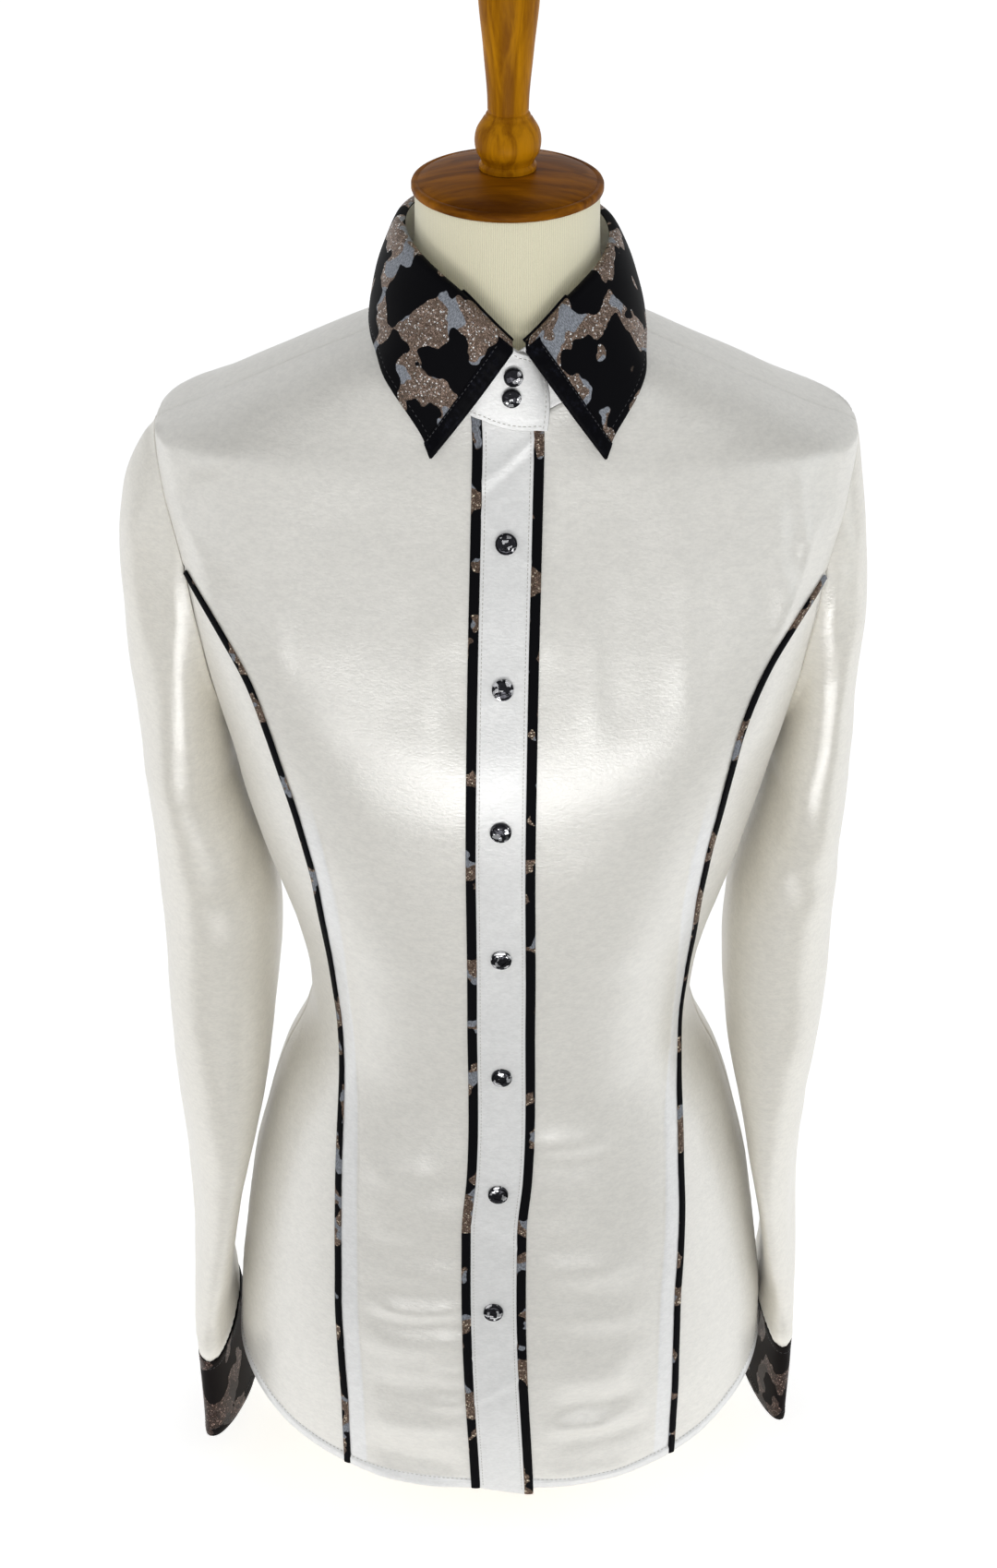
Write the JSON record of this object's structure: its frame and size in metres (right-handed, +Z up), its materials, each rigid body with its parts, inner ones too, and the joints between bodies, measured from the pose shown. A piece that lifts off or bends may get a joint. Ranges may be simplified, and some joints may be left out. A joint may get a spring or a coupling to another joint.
{
  "type": "western snap shirt on a limbless dress form",
  "caption": "Fitted long-sleeved western snap shirt, satin with leopard lamé collar, cuffs and piping, worn by a limbless dress form with a wood cap, finial and foot.",
  "frame": {"origin": "middle of the box that holds the whole part, at its underside", "axes": "+Z up the form; the front faces -Y; +X is the wearer's left"},
  "size_m": [0.4, 0.2464, 0.931],
  "materials": {
    "satin": "ivory satin",
    "leopard_lame": "leopard-patterned metallic knit in black, bronze and grey",
    "black_satin": "black satin",
    "snap_metal": "dark gunmetal, faceted",
    "form_jersey": "cream ribbed jersey",
    "cap_wood": "dark varnish",
    "finial_wood": "honey-brown varnish"
  },
  "bodies": {
    "root": {"front_right": "satin", "front_left": "satin", "side_front_right": "satin", "side_front_left": "satin", "back": "satin", "sleeve_right": "satin", "sleeve_left": "satin", "collar_stand": "satin", "placket": "satin", "collar_leaf": "leopard_lame", "cuff_right": "leopard_lame", "cuff_left": "leopard_lame", "placket_piping_right": "leopard_lame", "placket_piping_left": "leopard_lame", "princess_piping_right": "leopard_lame", "princess_piping_left": "leopard_lame", "collar_band_right": "black_satin", "collar_band_left": "black_satin", "placket_snap_1": "snap_metal", "placket_snap_2": "snap_metal", "placket_snap_3": "snap_metal", "placket_snap_4": "snap_metal", "placket_snap_5": "snap_metal", "placket_snap_6": "snap_metal", "placket_snap_7": "snap_metal", "collar_snap_1": "snap_metal", "collar_snap_2": "snap_metal", "cuff_snap_right": "snap_metal", "cuff_snap_left": "snap_metal", "form_body": "form_jersey", "form_cap": "cap_wood", "form_finial": "finial_wood", "form_foot": "cap_wood"}
  },
  "joints": []
}
